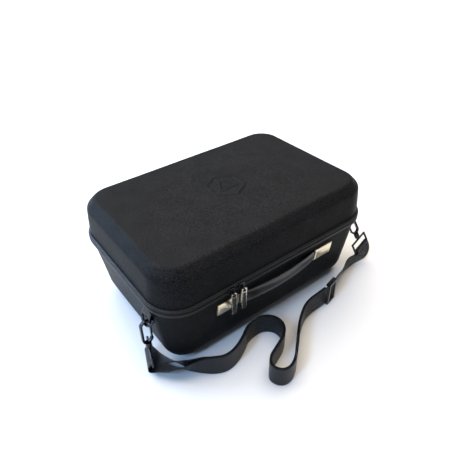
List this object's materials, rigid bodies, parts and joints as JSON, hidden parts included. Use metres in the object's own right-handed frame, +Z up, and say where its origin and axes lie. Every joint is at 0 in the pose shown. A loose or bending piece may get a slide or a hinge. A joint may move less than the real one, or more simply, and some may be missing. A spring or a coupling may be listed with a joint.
{
  "type": "carry case",
  "caption": "Zipped moulded case with rounded corners, a front grip on metal end plates, a shoulder strap on snap hooks and a pocketed foam insert.",
  "frame": {"origin": "middle of the case's underside, on the surface it stands on", "axes": "+X along the case's length to the right seen from the grip side, +Y from the grip to the lid's hinge, +Z up"},
  "size_m": [0.4431, 0.356, 0.1839],
  "materials": {
    "case_cloth": "matte woven cloth over moulded foam, embossed",
    "lining_cloth": "brushed knit",
    "binding_cloth": "folded binding tape, satin",
    "zip_tape": "twill tape",
    "zip_coil": "nylon coil",
    "foam": "open-cell foam",
    "grip_leatherette": "smooth glossy leatherette",
    "grip_core": "moulded core",
    "plate_nickel": "polished warm nickel",
    "steel": "plain zinc",
    "slider_metal": "black enamel",
    "pull_rubber": "moulded rubber",
    "tab_webbing": "woven webbing",
    "black_nickel": "black nickel plate",
    "strap_webbing": "ribbed satin webbing",
    "adjuster_metal": "black enamel"
  },
  "bodies": {
    "base": {"base_shell": "case_cloth", "base_lining": "lining_cloth", "base_binding": "binding_cloth", "base_zip_tape": "zip_tape", "base_zip_coil": "zip_coil", "base_hinge_leaf": "binding_cloth", "zip_end_stops": "zip_coil", "base_pad": "foam", "foam_tray": "foam", "handle_grip": "grip_leatherette", "handle_core": "grip_core", "handle_plate_left": "plate_nickel", "handle_plate_right": "plate_nickel", "handle_screws": "steel", "handle_backing": "steel", "side_tab_left": "tab_webbing", "side_tab_right": "tab_webbing", "hook_body_left": "black_nickel", "hook_body_right": "black_nickel", "hook_loop_left": "black_nickel", "hook_loop_right": "black_nickel", "strap_webbing": "strap_webbing", "strap_return": "strap_webbing", "strap_tail": "strap_webbing", "adjuster_frame": "adjuster_metal", "adjuster_bar": "adjuster_metal"},
    "lid": {"lid_shell": "case_cloth", "lid_lining": "lining_cloth", "lid_binding": "binding_cloth", "lid_zip_tape": "zip_tape", "lid_zip_coil": "zip_coil", "lid_hinge_leaf": "binding_cloth", "lid_emblem": "case_cloth", "lid_foam": "foam"},
    "slider_left": {"zip_slider_left": "slider_metal"},
    "slider_right": {"zip_slider_right": "slider_metal"},
    "pull_left": {"zip_pull_left": "plate_nickel", "zip_insert_left": "pull_rubber"},
    "pull_right": {"zip_pull_right": "plate_nickel", "zip_insert_right": "pull_rubber"},
    "ring_left": {"d_ring_left": "black_nickel"},
    "ring_right": {"d_ring_right": "black_nickel"},
    "gate_left": {"hook_gate_left": "black_nickel"},
    "gate_right": {"hook_gate_right": "black_nickel"}
  },
  "joints": [
    {"name": "lid_hinge", "type": "hinge", "parent": "base", "child": "lid", "pos_m": [0, 0.1326, 0.122], "axis": [-1, 0, 0], "range_deg": [0, 170]},
    {"name": "slider_left_travel", "type": "slide", "parent": "base", "child": "slider_left", "axis": [-1, 0, 0], "range_m": [0, 0.048]},
    {"name": "slider_right_travel", "type": "slide", "parent": "base", "child": "slider_right", "axis": [1, 0, 0], "range_m": [0, 0.2]},
    {"name": "pull_left_swing", "type": "hinge", "parent": "slider_left", "child": "pull_left", "pos_m": [-0.091, -0.1371, 0.118], "axis": [-1, 0, 0], "range_deg": [0, 140]},
    {"name": "pull_right_swing", "type": "hinge", "parent": "slider_right", "child": "pull_right", "pos_m": [-0.074, -0.1371, 0.118], "axis": [-1, 0, 0], "range_deg": [0, 140]},
    {"name": "ring_left_swing", "type": "hinge", "parent": "base", "child": "ring_left", "pos_m": [-0.19065, -0.083, 0.09846], "axis": [0, -1, 0], "range_deg": [0, 8]},
    {"name": "ring_right_swing", "type": "hinge", "parent": "base", "child": "ring_right", "pos_m": [0.19065, -0.083, 0.09846], "axis": [0, 1, 0], "range_deg": [0, 6]},
    {"name": "gate_left_press", "type": "hinge", "parent": "base", "child": "gate_left", "pos_m": [-0.19089, -0.083, 0.05689], "axis": [0, -1, 0], "range_deg": [0, 22], "stiffness_Nm_per_rad": 0.02, "springref_deg": -17.19},
    {"name": "gate_right_press", "type": "hinge", "parent": "base", "child": "gate_right", "pos_m": [0.19755, -0.10013, 0.05946], "axis": [0.224, 0.9063, -0.3584], "range_deg": [0, 22], "stiffness_Nm_per_rad": 0.02, "springref_deg": -17.19}
  ]
}
